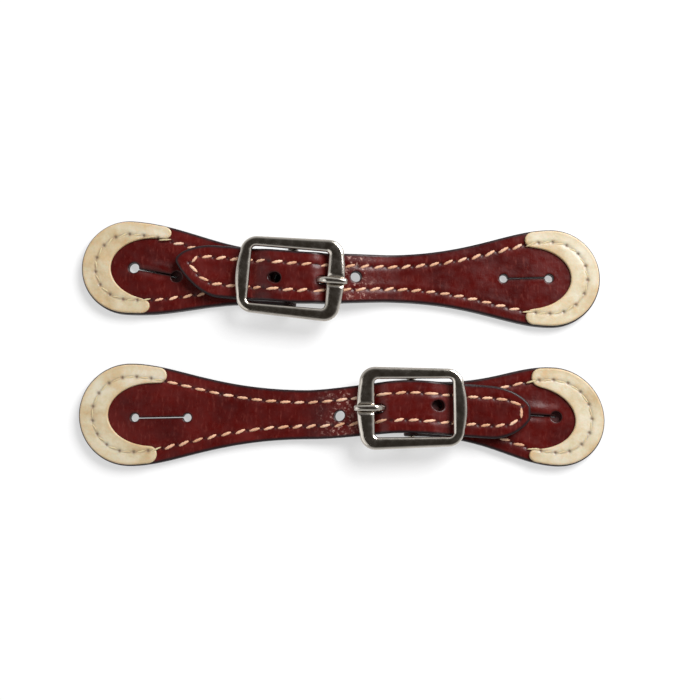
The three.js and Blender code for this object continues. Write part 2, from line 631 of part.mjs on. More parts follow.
function makeStrap(strap) {
  const group = new THREE.Group();
  const buckleGroup = new THREE.Group();
  buckleGroup.rotation.z = strap.skew;
  group.add(buckleGroup);
  for (const [layerName, solid] of Object.entries(buckleSolids(strap))) {
    buckleGroup.add(node(`${strap.name}_buckle_piece_${layerName}`, solid, MATERIAL_OF[layerName]));
  }
  buckleGroup.add(node(`${strap.name}_buckle_frame`, frameSolid(), STEEL));
  buckleGroup.add(node(`${strap.name}_buckle_tongue`, tongueSolid(), STEEL));

  for (const [layerName, solid] of Object.entries(billetSolids(strap))) {
    group.add(node(`${strap.name}_billet_${layerName}`, solid, MATERIAL_OF[layerName]));
  }
  group.rotation.z = strap.turn;
  group.position.set(strap.place[0], strap.place[1], 0);
  return group;
}

const pair = new THREE.Group();
for (const strap of STRAPS) pair.add(makeStrap(strap));
pair.updateMatrixWorld(true);
const extent = new THREE.Box3().setFromObject(pair, true);
const middle = extent.getCenter(new THREE.Vector3());
for (const strap of pair.children) strap.position.sub(new THREE.Vector3(middle.x, middle.y, extent.min.z));

export default pair;
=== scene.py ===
"""A pair of western spur straps: burgundy leather, rawhide crescents, twisted stitches and steel buckles.

Lengths in this script are millimetres in a strap's own frame until place() turns them into metres in the
CAD's frame. A strap's frame has its origin below the buckle's centre bar, +x along the billet towards its
button end and +z up. Each strap's place and turn are read from its buckle's hinge.
"""

import json
import math

import bpy
import numpy as np
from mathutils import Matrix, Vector
from mathutils.geometry import delaunay_2d_cdt


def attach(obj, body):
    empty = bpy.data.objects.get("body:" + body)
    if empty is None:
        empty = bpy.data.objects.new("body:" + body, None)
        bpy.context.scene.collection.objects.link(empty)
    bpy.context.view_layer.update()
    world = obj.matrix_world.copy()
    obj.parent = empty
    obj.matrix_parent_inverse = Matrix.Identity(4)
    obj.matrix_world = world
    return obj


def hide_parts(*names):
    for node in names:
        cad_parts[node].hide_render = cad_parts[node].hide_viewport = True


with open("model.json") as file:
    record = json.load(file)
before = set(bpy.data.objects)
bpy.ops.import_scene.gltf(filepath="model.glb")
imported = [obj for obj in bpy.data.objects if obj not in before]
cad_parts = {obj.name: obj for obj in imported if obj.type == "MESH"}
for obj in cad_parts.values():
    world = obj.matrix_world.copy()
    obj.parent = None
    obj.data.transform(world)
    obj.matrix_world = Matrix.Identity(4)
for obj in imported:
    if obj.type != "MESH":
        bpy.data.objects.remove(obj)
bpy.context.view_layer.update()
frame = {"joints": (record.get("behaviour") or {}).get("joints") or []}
JOINTS = {joint["name"]: joint for joint in frame["joints"]}
MM = 0.001

# ---- Driving dimensions, as in the CAD ----

FACE, LINING, FOLD, FLAP, RAWHIDE, SEAM = 2.0, 1.3, 1.5, 1.2, 0.9, 0.1
STACK = FACE + LINING + SEAM
BAR_RADIUS, BAR_CLEARANCE, TABLE_GAP = 1.5, 0.15, 0.05
BAR_HEIGHT = BAR_RADIUS + BAR_CLEARANCE + FOLD + TABLE_GAP
FOLD_RADIUS = BAR_RADIUS + BAR_CLEARANCE + FOLD / 2
FOLD_ARC = math.pi * FOLD_RADIUS
FRAME_BOTTOM, FRAME_THICKNESS = 7.75, 3.2
WINDOW_HALF_WIDTH, WINDOW_TOE, WINDOW_HEEL = 11.4, 14.6, -16.0
FRAME_TOE, FRAME_HEEL, END_BAR_BOW = 20.6, -20.6, 1.1
FRAME_TOE_HALF_WIDTH, FRAME_HEEL_HALF_WIDTH = 16.5, 15.1
OUTER_CORNER, INNER_CORNER = 6.4, 1.5
NOTCH_DEPTH, NOTCH_RADIUS = 0.95, 3.0
LUG_RADIUS, LUG_STRETCH, LUG_ASIDE, LUG_SIDES = 2.15, 2.75, 1.6, 28
LUG_RINGS = (-1.45, 0.86), (-1.2, 1.0), (1.2, 1.0), (1.45, 0.86)  # (across the strap, size)
TONGUE_HALF, TONGUE_WIDTH, TONGUE_END = 1.1, 2.6, 22.9
TONGUE_FROM, TONGUE_RISE, TONGUE_DROP = 1.9, (7, 14.6), 1.2
TONGUE_EYE = BAR_HEIGHT - 0.12
TONGUE_REST = FRAME_BOTTOM + FRAME_THICKNESS - NOTCH_DEPTH + 0.3 + TONGUE_HALF
TIP_BED, TOE_BED, OVER_FOLD, TIP_LIFT = STACK + 0.3, 3.25, 6.5, 0.8
TIP_BED_TO, FOLD_TOP, TOE_BAR_SPAN, ON_TABLE, TIP_LIFT_SPAN = -15.3, (-6.3, 8), (15.2, 17), 46, (24, 50)
FOLD_EASE, FLAP_EASE, FLAP_END = -15.5, -12, 34.5
SLOT_ON_TOP, SLOT_UNDERNEATH, SLOT_CLEARANCE = 6.2, 3.6, 0.8
BEND_EASE, SHIFT_SPAN = 14, (-2, 42)

HOLE_RADIUS = 2.05
BUTTONHOLE_RADIUS = {"billet": 1.65, "buckle_piece": 2.05}
HORN_ROUND = 3.6
LIP_SIDE = {"left": 1, "right": -1}
TONGUE_HOLE_AT, TONGUE_HOLE_LEAN, TONGUE_HOLE_HALVES = 10.5, 0.45, (1.85, 1.7)
OVAL_AT, OVAL_LENGTH, OVAL_HALF_WIDTH = 29, 17.3, 12.4
SLIT_HALF_WIDTH = 0.05
STITCH_PITCH, STITCH_LENGTH, STITCH_RADIUS = 5.6, 4.9, 0.52
STITCH_STEPS, STITCH_SIDES, PLIES, TWIST_TURNS = 17, 12, 3, 1.15
LOOP_ROWS = 0.12, 0.32, 0.6, 1.0, 1.5  # rows of points beside an edge or a hole
SEAM_ROWS = -1.1, -0.6, -0.3, 0, 0.3, 0.6, 1.1
GRID_OFF_LOOP, GRID_OFF_SEAM, POINT_OFF_LOOP, POINT_CELL = 1.7, 1.3, 0.08, 0.11
FAR = 99.0

STRAPS = {
    "left": {
        "bends": {
            "billet": {"side": -0.05, "slope": 0.086, "at": 5, "shift": 0.55},
            "buckle_piece": {"side": 0, "slope": -0.01, "at": -6, "shift": 0},
        },
        "holes": [(-5.8, -0.9), (25.7, 0.5)],
        "slants": (17, 15),
        "billet": {
            "end": 123.7, "tip": -45.7, "end_width": 39.2, "waist_at": 36.7, "waist": 18.8, "width": 20.8,
            "flare_near": 18, "flare_far": 36,
            "tip_side": 3.0, "tip_blunt": 0.6, "tip_length": 17, "tip_inset": 1.1,
            "end_inset": 5.2, "side_inset": 5.0, "oval_side": 0, "punched_lining": (True, True),
            "buttonhole": [20.4, 38.6], "hole_sides": [0, 0], "horns": [30.0, 30.0],
        },
        "buckle_piece": {
            "end": 83.8, "end_width": 37.6, "waist": 21.8, "waist_at": 8, "flare_near": 21, "flare_far": 24,
            "end_inset": 5.6, "side_inset": 5.7, "oval_side": 0, "punched_lining": (True, False),
            "buttonhole": [20.9, 38.2], "hole_sides": [0, 2.3], "horns": [34.6, 28.8],
        },
    },
    "right": {
        "bends": {
            "billet": {"side": -0.78, "slope": 0.072, "at": 1, "shift": 3.1},
            "buckle_piece": {"side": 0, "slope": 0.072, "at": -6, "shift": 0},
        },
        "holes": [(-9.5, -1.1), (28.0, 1.3)],
        "slants": (14, 5),
        "billet": {
            "end": 131.7, "tip": -46.8, "end_width": 40.6, "waist_at": 40, "waist": 19.4, "width": 20.8,
            "flare_near": 18, "flare_far": 38,
            "tip_side": -0.9, "tip_blunt": 2.2, "tip_length": 16, "tip_inset": 0.65,
            "end_inset": 5.4, "side_inset": 5.0, "oval_side": 0, "punched_lining": (True, True),
            "buttonhole": [22.2, 43.0], "hole_sides": [1.2, 1.2], "horns": [31.2, 34.8],
        },
        "buckle_piece": {
            "end": 76.5, "end_width": 39.2, "waist": 21.8, "waist_at": 6, "flare_near": 16, "flare_far": 26,
            "end_inset": 5.2, "side_inset": 5.7, "oval_side": -0.9, "punched_lining": (False, False),
            "buttonhole": [19.2, 37.0], "hole_sides": [0, 0], "horns": [30.3, 28.7],
        },
    },
}

# ---- Camera, floor and light ----

CAMERA_TILT, CAMERA_DISTANCE, VIEW_WIDTH = math.radians(5.5), 0.55, 0.28
AIM = Vector((0.0033, -0.0026, 0.0))
WALLS_AND_CEILING = [
    (0.0, (0.9,) * 3), (0.62, (0.95,) * 3), (0.84, (0.3, 0.29, 0.28)), (0.95, (0.05, 0.042, 0.034)),
]
WORLD_STRENGTH = 0.75
FLOOR_HALF, FLOOR_COLOUR, FLOOR_GLOW = 1.5, (0.36, 0.36, 0.362, 1), 0.5


def make_camera():
    data = bpy.data.cameras.new("camera")
    data.sensor_width = 36
    data.lens = data.sensor_width * CAMERA_DISTANCE / VIEW_WIDTH
    camera = bpy.data.objects.new("camera", data)
    camera.location = AIM + CAMERA_DISTANCE * Vector((0, -math.sin(CAMERA_TILT), math.cos(CAMERA_TILT)))
    camera.rotation_euler = (CAMERA_TILT, 0, 0)
    bpy.context.collection.objects.link(camera)
    bpy.context.scene.camera = camera


def make_light(name, place, size, watts):
    """A round lamp aimed at the origin."""
    data = bpy.data.lights.new(name, "AREA")
    data.shape = "DISK"
    data.size = size
    data.energy = watts
    light = bpy.data.objects.new(name, data)
    light.location = place
    light.rotation_euler = (-Vector(place)).to_track_quat("-Z", "Y").to_euler()
    bpy.context.collection.objects.link(light)


def make_world():
    """Bright studio walls and a darker ceiling, which the steel shows as a dark top with bright rims."""
    world = bpy.data.worlds.new("studio")
    bpy.context.scene.world = world
    world.use_nodes = True
    tree = Tree(world.node_tree)
    coords = tree.add("ShaderNodeTexCoord")
    split = tree.add("ShaderNodeSeparateXYZ", Vector=coords.outputs["Generated"])
    sky = tree.ramp(split.outputs["Z"], WALLS_AND_CEILING)
    background = world.node_tree.nodes["Background"]
    background.inputs["Strength"].default_value = WORLD_STRENGTH
    world.node_tree.links.new(sky, background.inputs["Color"])


def make_floor():
    mesh = bpy.data.meshes.new("floor")
    half = FLOOR_HALF
    corners = [(-half, -half, 0), (half, -half, 0), (half, half, 0), (-half, half, 0)]
    mesh.from_pydata(corners, [], [(0, 1, 2, 3)])
    floor = bpy.data.objects.new("floor", mesh)
    material, *_ = new_material("floor", Base_Color=FLOOR_COLOUR, Roughness=0.9, Emission_Color=(1, 1, 1, 1),
                                Emission_Strength=FLOOR_GLOW)
    mesh.materials.append(material)
    bpy.context.collection.objects.link(floor)


# ---- Materials ----


class Tree:
    """Short calls for building a node tree. Each value is a socket to link or a constant to set."""

    def __init__(self, tree):
        self.tree = tree

    def plug(self, socket, value):
        if isinstance(value, bpy.types.NodeSocket):
            self.tree.links.new(value, socket)
        else:
            socket.default_value = value

    def add(self, kind, values=(), **inputs):
        node = self.tree.nodes.new(kind)
        for name, value in dict(values).items():
            setattr(node, name, value)
        for name, value in inputs.items():
            self.plug(node.inputs[name.replace("_", " ")], value)
        return node

    def ramp(self, factor, stops):
        node = self.add("ShaderNodeValToRGB", Fac=factor)
        elements = node.color_ramp.elements
        while len(elements) < len(stops):
            elements.new(0.5)
        for element, (position, colour) in zip(elements, stops):
            element.position = position
            element.color = (*colour, 1)
        return node.outputs["Color"]

    def noise(self, coords, scale, detail=4.0, roughness=0.55):
        node = self.add("ShaderNodeTexNoise", Vector=coords, Scale=scale, Detail=detail, Roughness=roughness)
        return node.outputs["Fac"]

    def cells(self, coords, scale):
        node = self.add("ShaderNodeTexVoronoi", {"feature": "DISTANCE_TO_EDGE"}, Vector=coords, Scale=scale)
        return node.outputs["Distance"]

    def mix(self, factor, a, b):
        node = self.add("ShaderNodeMix", {"data_type": "RGBA"})
        self.plug(node.inputs[0], factor)
        for index, colour in ((6, a), (7, b)):
            self.plug(node.inputs[index], (*colour, 1) if isinstance(colour, tuple) else colour)
        return node.outputs[2]

    def maths(self, operation, a, b):
        node = self.add("ShaderNodeMath", {"operation": operation})
        self.plug(node.inputs[0], a)
        self.plug(node.inputs[1], b)
        return node.outputs[0]

    def span(self, value, low, high, to_low=0.0, to_high=1.0):
        node = self.add("ShaderNodeMapRange", Value=value)
        for name, number in (("From Min", low), ("From Max", high), ("To Min", to_low), ("To Max", to_high)):
            node.inputs[name].default_value = number
        return node.outputs["Result"]

    def attribute(self, name):
        return self.add("ShaderNodeAttribute", {"attribute_name": name}).outputs["Fac"]

    def bump(self, height, strength, distance, normal=None):
        node = self.add("ShaderNodeBump", Height=height, Strength=strength, Distance=distance)
        if normal is not None:
            self.tree.links.new(normal, node.inputs["Normal"])
        return node.outputs["Normal"]


def new_material(name, **constants):
    """A material, its node tree, object coordinates, and a way to link a value to its surface."""
    material = bpy.data.materials.new(name)
    material.use_nodes = True
    surface = material.node_tree.nodes["Principled BSDF"]
    for socket, value in constants.items():
        surface.inputs[socket.replace("_", " ")].default_value = value
    tree = Tree(material.node_tree)
    coords = tree.add("ShaderNodeTexCoord").outputs["Object"]

    def link(value, socket):
        material.node_tree.links.new(value, surface.inputs[socket])

    return material, tree, coords, link


def leather_material(name, dark, mid, light, rough):
    """Dyed leather with clouds, fine cracks, creases, worn flecks and dark edges, and painted shade in and
    around its holes and needle holes.
    """
    material, tree, coords, link = new_material(
        name, Coat_Weight=0.06, Coat_Roughness=0.18, Specular_IOR_Level=0.17
    )
    cloud = tree.noise(coords, 70, 5)
    colour = tree.ramp(cloud, [(0.3, dark), (0.52, mid), (0.75, light)])
    mottle = tree.span(tree.noise(coords, 420, 3), 0.35, 0.7, 0.0, 0.14)
    colour = tree.mix(mottle, colour, dark)
    wobble = tree.add("ShaderNodeTexNoise", Vector=coords, Scale=160.0).outputs["Color"]
    crack_warp = tree.add("ShaderNodeMixRGB", {"blend_type": "ADD"}, Fac=0.012, Color1=coords, Color2=wobble)
    crack = tree.span(tree.cells(crack_warp.outputs[0], 260), 0.0, 0.03, 1.0, 0.0)
    crack_where = tree.span(tree.noise(coords, 60, 3), 0.56, 0.72)
    crack = tree.maths("MULTIPLY", crack, crack_where)
    colour = tree.mix(tree.maths("MULTIPLY", crack, 0.16), colour, (0.25, 0.08, 0.06))
    creased = tree.add("ShaderNodeMapping", Vector=coords, Scale=(1, 0.28, 1)).outputs["Vector"]
    creases = tree.noise(creased, 900, 5, 0.65)
    colour = tree.mix(tree.span(creases, 0.54, 0.72, 0.0, 0.3), colour, (0.19, 0.045, 0.035))
    flecks = tree.span(tree.noise(coords, 700, 5, 0.75), 0.54, 0.66)
    worn = tree.maths("MULTIPLY", tree.attribute("worn"), flecks)
    colour = tree.mix(worn, colour, (0.55, 0.34, 0.29))
    shade = tree.maths("ADD", tree.attribute("edge"), tree.maths("MULTIPLY", tree.noise(coords, 500), 0.25))
    colour = tree.mix(tree.span(shade, 0.45, 0.95), colour, (0.012, 0.006, 0.007))
    # Painted shade: near-black in and around the holes and needle holes.
    colour = tree.mix(tree.attribute("pit"), colour, (0.01, 0.003, 0.003))
    link(colour, "Base Color")
    link(tree.span(tree.noise(coords, 260, 5), 0.3, 0.7, rough - 0.08, rough + 0.14), "Roughness")
    pores = tree.maths("MULTIPLY", tree.cells(coords, 1500), 0.5)
    grain = tree.maths("ADD", pores, tree.noise(coords, 900, 4))
    normal = tree.bump(grain, 0.22, 0.00015)
    normal = tree.bump(creases, 0.2, 0.0002, normal)
    normal = tree.bump(crack, -0.35, 0.0002, normal)
    link(tree.bump(tree.noise(coords, 150, 3), 0.35, 0.0006, normal), "Normal")
    return material


def rawhide_material():
    """Cream rawhide, stained in patches and along its rim, with painted shade at its stitching."""
    material, tree, coords, link = new_material("rawhide", Coat_Weight=0.2, Coat_Roughness=0.25,
                                                Subsurface_Weight=0.12, Subsurface_Scale=0.0012)
    stops = [(0.32, (0.34, 0.24, 0.12)), (0.5, (0.44, 0.38, 0.26)), (0.66, (0.5, 0.46, 0.37))]
    colour = tree.ramp(tree.noise(coords, 60, 6, 0.65), stops)
    stain = tree.span(tree.noise(coords, 110, 6, 0.75), 0.5, 0.7, 0.0, 0.6)
    colour = tree.mix(stain, colour, (0.43, 0.27, 0.11))
    rim = tree.maths("MULTIPLY", tree.attribute("edge"), 0.6)
    colour = tree.mix(rim, colour, (0.4, 0.27, 0.13))
    # Painted shade: dark brown in the needle holes and along the seam.
    colour = tree.mix(tree.attribute("pit"), colour, (0.08, 0.04, 0.02))
    link(colour, "Base Color")
    link(tree.span(tree.noise(coords, 300), 0.3, 0.7, 0.38, 0.6), "Roughness")
    normal = tree.bump(tree.noise(coords, 700, 6, 0.7), 0.3, 0.0002)
    link(tree.bump(tree.noise(coords, 110, 3), 0.4, 0.0008, normal), "Normal")
    return material


def thread_material():
    material, tree, coords, link = new_material("thread", Roughness=0.62, Sheen_Weight=0.25)
    stops = [(0.35, (0.42, 0.21, 0.11)), (0.55, (0.55, 0.32, 0.2)), (0.72, (0.64, 0.45, 0.33))]
    colour = tree.ramp(tree.noise(coords, 130, 4), stops)
    colour = tree.mix(tree.attribute("pale"), colour, (0.42, 0.34, 0.19))
    # Painted shade where each stitch dips into its needle hole, and a random darkening of about three
    # stitches in ten.
    colour = tree.mix(tree.maths("MULTIPLY", tree.attribute("pit"), 0.7), colour, (0.25, 0.1, 0.05))
    link(colour, "Base Color")
    link(tree.bump(tree.noise(coords, 5000, 3), 0.5, 0.0001), "Normal")
    return material


def steel_material():
    """Polished steel with fine scratches along the strap."""
    material, tree, coords, link = new_material("steel", Metallic=1.0)
    stops = [(0.3, (0.44, 0.41, 0.36)), (0.6, (0.54, 0.5, 0.45)), (0.8, (0.62, 0.59, 0.53))]
    colour = tree.ramp(tree.noise(coords, 150, 4), stops)
    link(colour, "Base Color")
    link(tree.span(tree.noise(coords, 340, 6, 0.7), 0.3, 0.75, 0.1, 0.22), "Roughness")
    stretched = tree.add("ShaderNodeMapping", Vector=coords, Scale=(1, 9, 1)).outputs["Vector"]
    scratches = tree.noise(stretched, 900, 3)
    normal = tree.bump(scratches, 0.05, 0.0001)
    link(tree.bump(tree.noise(coords, 120, 2), 0.06, 0.0006, normal), "Normal")
    return material


# ---- Curves and heights ----


def step(x, low, high):
    """A smooth step from 0 at low to 1 at high."""
    t = np.clip((np.asarray(x, float) - low) / (high - low), 0, 1)
    return t * t * (3 - 2 * t)


def bell(distance, width):
    return np.exp(-((distance / width) ** 2))


def billet_height(x):
    """The billet's underside: on the buckle piece, over the fold, under the toe bar, on the table."""
    on_fold = TIP_BED + (OVER_FOLD - TIP_BED) * step(x, TIP_BED_TO, FOLD_TOP[0])
    down = (OVER_FOLD - TOE_BED) * step(x, FOLD_TOP[1], TOE_BAR_SPAN[0])
    out = TOE_BED * step(x, TOE_BAR_SPAN[1], ON_TABLE)
    return on_fold - down - out + TIP_LIFT * step(-np.asarray(x), *TIP_LIFT_SPAN)


def tongue_height(x):
    """The tongue's middle line: low over the bar, up through the billet, and down a little at its end."""
    low = BAR_HEIGHT + TONGUE_EYE - TONGUE_HALF
    drop = TONGUE_DROP * step(x, TONGUE_END - 1.9, TONGUE_END + 1.1)
    return low + (TONGUE_REST - low) * step(x, *TONGUE_RISE) - drop


def sideways(x, bend):
    """How far a piece's middle line has wandered across the strap at x."""
    past = np.clip(bend["at"] + BEND_EASE / 2 - x, 0, BEND_EASE)
    beyond = np.maximum(0, bend["at"] - BEND_EASE / 2 - x)
    sloped = bend["slope"] * (past**2 / (2 * BEND_EASE) + beyond)
    return bend["side"] + sloped + bend["shift"] * step(x, *SHIFT_SPAN)


def along(points, height):
    """Flat leather (x along, y across, z above its underside) laid along a side profile."""
    x, y, z = points.T
    slope = (height(x + 0.01) - height(x - 0.01)) / 0.02
    size = np.hypot(slope, 1)
    return np.stack([x - z * slope / size, y, height(x) + z / size], 1)


def fold_rise(x):
    """The middle of the buckle piece's face, rising from its lining to the top of the fold."""
    flat = LINING + SEAM + FACE / 2
    return flat + (BAR_HEIGHT + FOLD_RADIUS - flat) * step(x, FOLD_EASE, 0)


def folded(points):
    """The buckle piece's face: up to x = 0, round the bar and back underneath. z is from its middle."""
    x, y, z = points.T
    back = FOLD_ARC - x
    before = FACE + (FOLD - FACE) * step(x, FOLD_EASE, 0)
    after = FLAP + (FOLD - FLAP) * step(back, FLAP_EASE, 0)
    z = z * np.where(x < 0, before, np.where(x < FOLD_ARC, FOLD, after)) / FACE
    over = along(np.stack([np.minimum(x, 0), y, z], 1), fold_rise)
    angle = np.clip(math.pi / 2 - x / FOLD_RADIUS, -math.pi / 2, math.pi / 2)
    turn = np.stack([np.cos(angle) * (FOLD_RADIUS + z), y, BAR_HEIGHT + np.sin(angle) * (FOLD_RADIUS + z)], 1)
    flap_middle = TABLE_GAP + FLAP / 2 + (FOLD - FLAP) / 2 * step(back, FLAP_EASE, 0)
    under = np.stack([back, y, flap_middle - z], 1)
    which = x[:, None]
    return np.where(which < 0, over, np.where(which < FOLD_ARC, turn, under))


def bezier(a, b, c, d, count=40):
    t = np.linspace(0, 1, count, endpoint=False)[:, None]
    a, b, c, d = (np.array(point, float) for point in (a, b, c, d))
    return (1 - t) ** 3 * a + 3 * t * (1 - t) ** 2 * b + 3 * t * t * (1 - t) * c + t**3 * d


def arc_points(x, y, radius, start, end, count=60):
    angle = np.radians(np.linspace(start, end, count, endpoint=False))
    return np.stack([x + radius * np.cos(angle), y + radius * np.sin(angle)], 1)


def resample(points, spacing, closed=True):
    loop = np.vstack([points, points[:1]]) if closed else points
    lengths = np.concatenate([[0], np.cumsum(np.hypot(*np.diff(loop, axis=0).T))])
    count = max(8, int(round(lengths[-1] / spacing)))
    at = np.linspace(0, lengths[-1], count, endpoint=not closed)
    return np.stack([np.interp(at, lengths, loop[:, i]) for i in (0, 1)], 1)


def button_end(piece, cap, neck):
    """The round end and the flare up to it, from one side of the waist to the other."""
    centre, start = piece["end"] - piece["end_width"] / 2, piece["waist_at"]
    far, near = start + piece["flare_far"], centre - piece["flare_near"]
    return np.vstack([
        bezier((start, -neck), (far, -neck), (near, -cap), (centre, -cap)),
        arc_points(centre, 0, cap, -90, 90),
        bezier((centre, cap), (near, cap), (far, neck), (start, neck)),
        [(start, neck)],
    ])


def billet_outline(piece, end_inset=0.0, side_inset=0.0):
    cap, neck = piece["end_width"] / 2 - end_inset, piece["waist"] / 2 - side_inset
    half = piece["width"] / 2 - side_inset
    tip, shoulder = piece["tip"] + side_inset * piece["tip_inset"], piece["tip"] + piece["tip_length"]
    side, blunt = piece["tip_side"], piece["tip_blunt"]
    pull = blunt + 0.36 * half
    lower = bezier((tip, side - blunt), (tip + 1.6, side - pull), (shoulder - 8, -half), (shoulder, -half))
    upper = bezier((shoulder, half), (shoulder - 8, half), (tip + 1.6, side + pull), (tip, side + blunt))
    middle = [(0, -half)], button_end(piece, cap, neck), [(0, half)]
    return np.vstack([lower, [(shoulder, -half)], *middle, upper, [(tip, side + blunt)]])


def buckle_piece_outline(piece, start, end_inset=0.0, side_inset=0.0):
    cap, neck = piece["end_width"] / 2 - end_inset, piece["waist"] / 2 - side_inset
    return np.vstack([[(start, -neck)], button_end(piece, cap, neck), [(start, neck)]])


def turned_about(points):
    return -np.asarray(points)


def buttonhole_centres(piece):
    places = zip(piece["buttonhole"], piece["hole_sides"])
    return np.array([(piece["end"] - inward, side) for inward, side in places], float)


def buttonhole_outline(piece, radius, punched=(True, True)):
    """A slit between two places, with a round hole at each that is punched."""
    outer, inner = buttonhole_centres(piece)
    lean = math.degrees(math.atan2(outer[1] - inner[1], outer[0] - inner[0]))
    gap = math.degrees(math.asin(SLIT_HALF_WIDTH / radius))
    aside = SLIT_HALF_WIDTH * np.array([-math.sin(math.radians(lean)), math.cos(math.radians(lean))])
    outer_end = [outer - aside, outer + aside]
    inner_end = [inner + aside, inner - aside]
    if punched[0]:
        outer_end = arc_points(*outer, radius, lean - 180 + gap, lean + 180 - gap, 30)
    if punched[1]:
        inner_end = arc_points(*inner, radius, lean + gap, lean + 360 - gap, 30)
    return np.vstack([outer_end, inner_end])


def oval_outline(x, y, half_length, half_width):
    angle = np.linspace(0, 2 * math.pi, 36, endpoint=False)
    return np.stack([x + half_length * np.cos(angle), y + half_width * np.sin(angle)], 1)


# ---- Flat sheets of leather ----


def inside(points, loop):
    a, b = loop, np.roll(loop, -1, 0)
    result = np.zeros(len(points), bool)
    for begin in range(0, len(points), 4000):
        x, y = points[begin : begin + 4000].T[:, :, None]
        crosses = (a[:, 1] > y) != (b[:, 1] > y)
        with np.errstate(divide="ignore", invalid="ignore"):
            at = a[:, 0] + (y - a[:, 1]) * (b[:, 0] - a[:, 0]) / (b[:, 1] - a[:, 1])
        result[begin : begin + 4000] = (np.sum(crosses & (x < at), 1) % 2) == 1
    return result


def distance_to(points, line, closed=True):
    a = line if closed else line[:-1]
    b = np.roll(line, -1, 0) if closed else line[1:]
    span = b - a
    size = np.maximum((span**2).sum(1), 1e-12)
    result = np.empty(len(points))
    for begin in range(0, len(points), 4000):
        p = points[begin : begin + 4000, None, :]
        t = np.clip(((p - a) * span).sum(2) / size, 0, 1)
        result[begin : begin + 4000] = np.sqrt((((a + t[..., None] * span) - p) ** 2).sum(2).min(1))
    return result


def offset_points(line, distance, closed=True):
    tangent = (np.roll(line, -1, 0) - np.roll(line, 1, 0)) if closed else np.gradient(line, axis=0)
    tangent /= np.maximum(np.hypot(*tangent.T), 1e-9)[:, None]
    return line + distance * np.stack([-tangent[:, 1], tangent[:, 0]], 1)


def flat_sheet(outline, holes, seams, spacing):
    """Plan points and triangles of a sheet, closer together near its edges, its holes and its stitching."""
    loops = [resample(outline, 0.5)] + [resample(hole, 0.35) for hole in holes]
    extra = [np.empty((0, 2))]
    for loop in loops:
        for distance in LOOP_ROWS:
            extra += [offset_points(loop, distance), offset_points(loop, -distance)]
    for seam in seams:
        for distance in SEAM_ROWS:
            extra.append(offset_points(resample(seam, 0.45, False), distance, False))
    low, high = outline.min(0), outline.max(0)
    rows = np.arange(low[1], high[1], spacing * 0.87)
    columns = np.arange(low[0], high[0], spacing)
    grid = np.array([(x + (i % 2) * spacing / 2, y) for i, y in enumerate(rows) for x in columns])
    for loop in loops:
        grid = grid[distance_to(grid, loop) > GRID_OFF_LOOP]
    for seam in seams:
        grid = grid[distance_to(grid, seam, False) > GRID_OFF_SEAM]
    points = np.vstack(extra + [grid])
    for index, loop in enumerate(loops):
        points = points[inside(points, loop) == (index == 0)]
        points = points[distance_to(points, loop) > POINT_OFF_LOOP]
    cell = np.round(points / POINT_CELL).astype(int)
    points = points[np.unique(cell, axis=0, return_index=True)[1]]
    edges, start = [], 0
    for loop in loops:
        count = len(loop)
        edges += [(start + i, start + (i + 1) % count) for i in range(count)]
        start += count
    everything = [Vector(point) for point in np.vstack(loops + [points])]
    vertices, _, faces, *_ = delaunay_2d_cdt(everything, edges, [], 0, 1e-6)
    vertices, faces = np.array([tuple(v) for v in vertices]), np.array([list(f) for f in faces])
    centres = vertices[faces].mean(1)
    keep = inside(centres, loops[0])
    for loop in loops[1:]:
        keep &= ~inside(centres, loop)
    faces = faces[keep]
    used, inverse = np.unique(faces, return_inverse=True)
    vertices, faces = vertices[used], inverse.reshape(-1, 3)
    a, b, c = (vertices[faces[:, i]] for i in range(3))
    flipped = (b[:, 0] - a[:, 0]) * (c[:, 1] - a[:, 1]) - (b[:, 1] - a[:, 1]) * (c[:, 0] - a[:, 0]) < 0
    faces[flipped] = faces[flipped][:, ::-1]
    return vertices, faces, loops


def round_edge(distance, radius):
    """How far a rounded edge is below the flat at a distance in from it."""
    inner = np.clip(radius - distance, 0, radius)
    return radius - np.sqrt(radius**2 - inner**2)


def solid_sheet(plan, faces, top, bottom):
    """A closed solid from a plan and its top and bottom heights, with a middle row round every wall."""
    count = len(plan)
    directed = {}
    for face in faces:
        for i in range(3):
            directed[(face[i], face[(i + 1) % 3])] = True
    rim = [edge for edge in directed if (edge[1], edge[0]) not in directed]
    ring = sorted({vertex for edge in rim for vertex in edge})
    middle = {vertex: 2 * count + i for i, vertex in enumerate(ring)}
    points = np.vstack([
        np.column_stack([plan, top]),
        np.column_stack([plan, bottom]),
        np.column_stack([plan[ring], (top[ring] + bottom[ring]) / 2]),
    ])
    polygons = [tuple(face) for face in faces] + [tuple(v + count for v in face[::-1]) for face in faces]
    for a, b in rim:
        polygons.append((b, a, middle[a], middle[b]))
        polygons.append((middle[b], middle[a], a + count, b + count))
    return points, polygons, ring


# ---- Pieces ----


def place(strap_name, points, skewed=False):
    """Millimetres in a strap's frame to metres in the CAD's frame. Buckle parts also turn with the buckle."""
    hinge = JOINTS[f"{strap_name}_buckle_rock"]
    turn = math.atan2(-hinge["axis"][0], hinge["axis"][1])
    if not skewed:
        turn = round(turn / math.pi) * math.pi
    c, s = math.cos(turn), math.sin(turn)
    x, y, z = points.T * MM
    return np.stack([hinge["pos_m"][0] + c * x - s * y, hinge["pos_m"][1] + s * x + c * y, z], 1)


def skew_of(strap_name):
    """The buckle's small turn from the strap's own line."""
    axis = JOINTS[f"{strap_name}_buckle_rock"]["axis"]
    turn = math.atan2(-axis[0], axis[1])
    return turn - round(turn / math.pi) * math.pi


